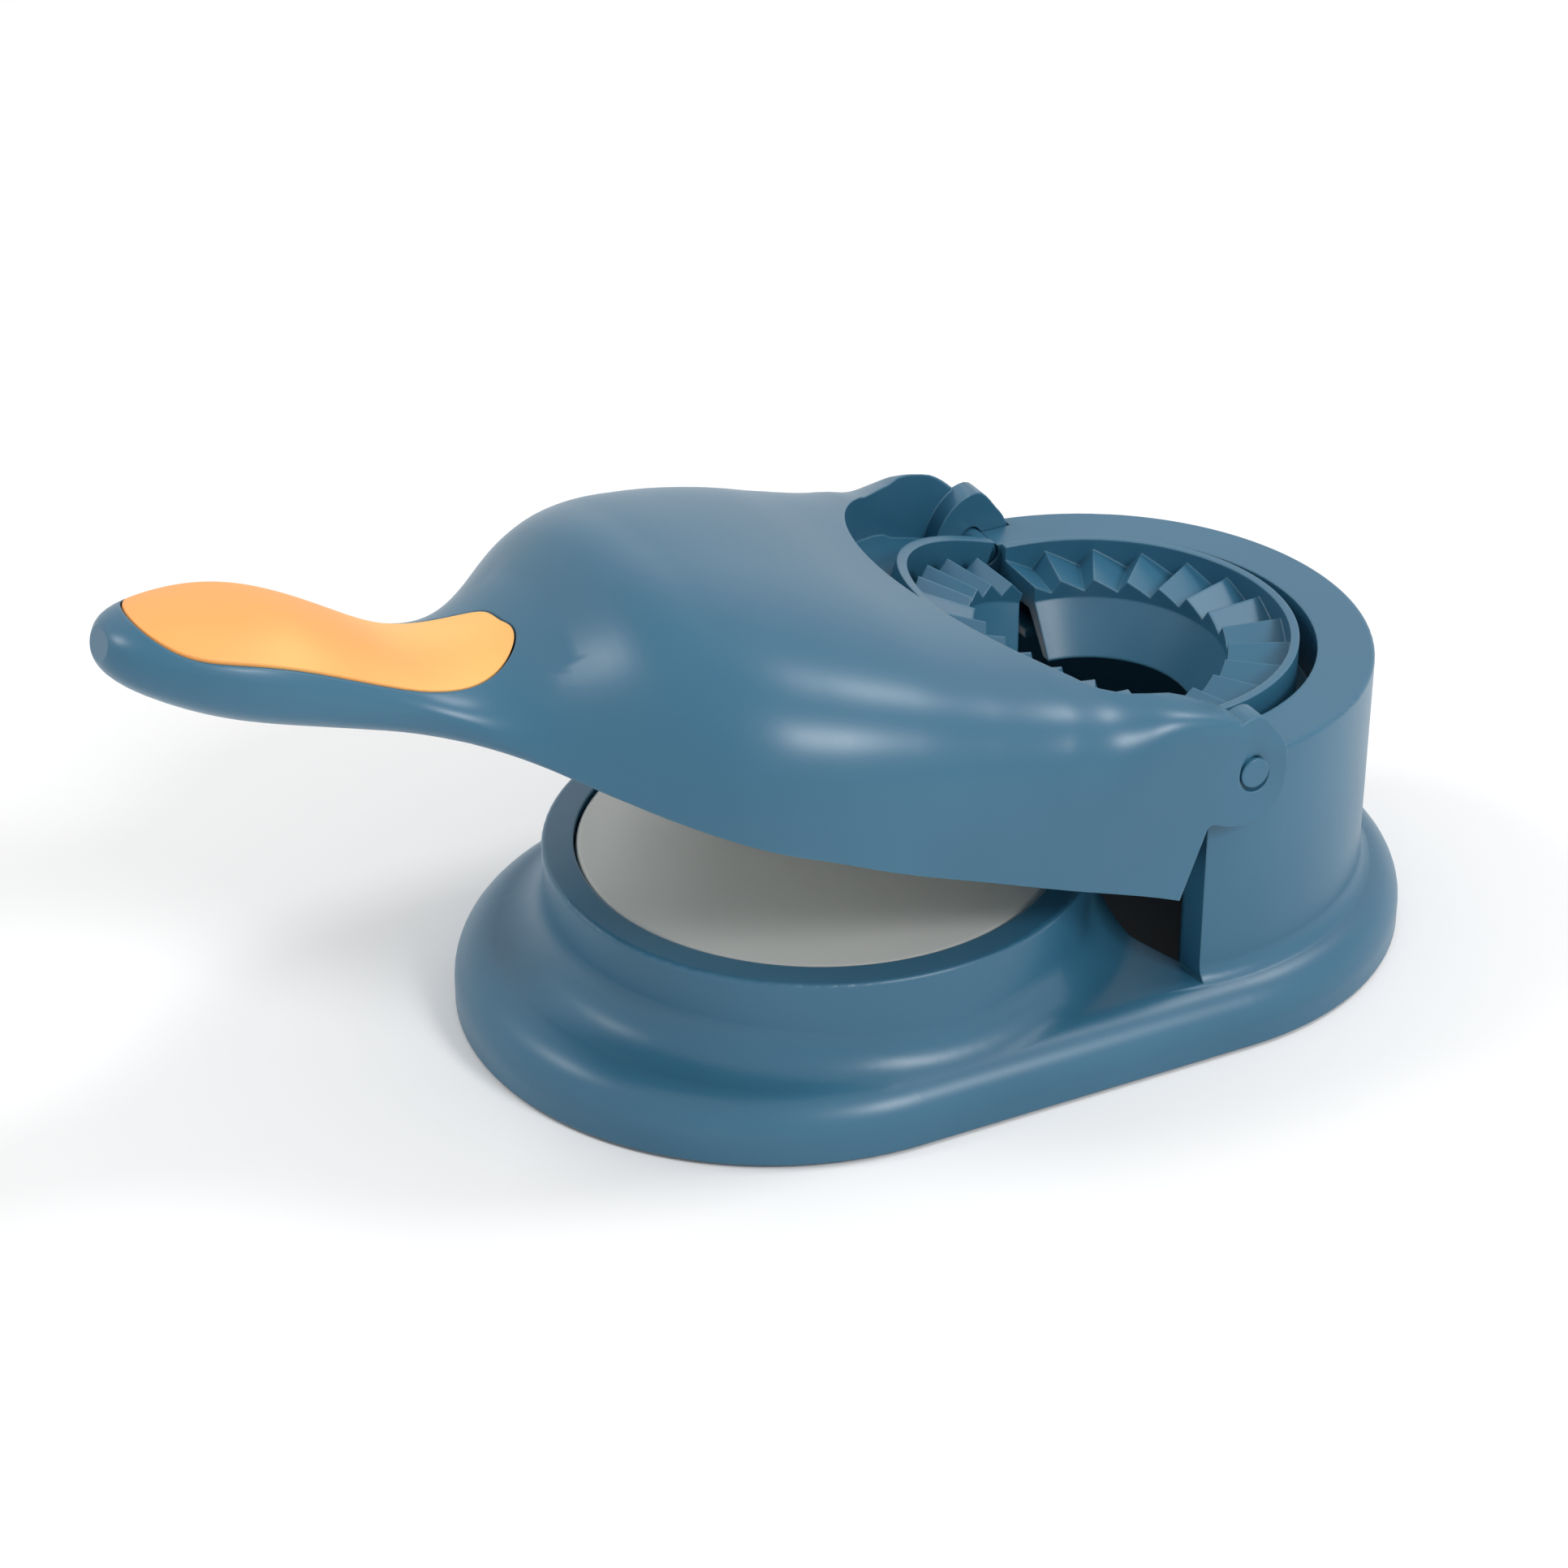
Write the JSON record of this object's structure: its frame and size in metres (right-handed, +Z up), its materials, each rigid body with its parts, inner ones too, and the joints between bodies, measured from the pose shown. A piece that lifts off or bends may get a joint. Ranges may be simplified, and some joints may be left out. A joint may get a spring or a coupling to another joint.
{
  "type": "empanada press",
  "caption": "Hand press for filled dough: a lever flattens dough between two discs, and folding toothed mould halves seal the pocket.",
  "frame": {"origin": "on the table, in the middle of the footprint of the raised press", "axes": "+X across to the right of someone at the handle, +Y from the handle's end to the tower, +Z up"},
  "size_m": [0.12, 0.2554, 0.1083],
  "materials": {
    "body_blue": "satin moulded plastic, greyish blue",
    "pin_blue": "satin plastic pin, greyish blue",
    "plate_white": "white food-safe plastic",
    "grip_orange": "soft matt grip, light orange",
    "cover_dark": "matt dark plastic",
    "rubber_dark": "matt rubber",
    "steel": "plain steel screws"
  },
  "bodies": {
    "base": {"base_shell": "body_blue", "bottom_cover": "cover_dark", "rubber_feet": "rubber_dark", "base_cover_screws": "steel", "lower_press_plate": "plate_white", "lower_plate_screws": "steel", "rear_mould": "body_blue", "rear_mould_screws": "steel"},
    "lever": {"lever_shell": "body_blue", "lever_under_cover": "body_blue", "under_cover_screws": "steel", "upper_press_plate": "plate_white", "upper_plate_screws": "steel", "front_mould": "body_blue", "front_mould_screws": "steel", "hinge_pin_left": "pin_blue", "hinge_pin_right": "pin_blue", "handle_grip": "grip_orange", "handle_cover": "body_blue", "handle_cover_screws": "steel"}
  },
  "joints": [
    {"name": "lever_hinge", "type": "hinge", "parent": "base", "child": "lever", "pos_m": [0, 0.0675, 0.0567], "axis": [-1, 0, 0], "range_deg": [-20.45, 159.55]}
  ]
}
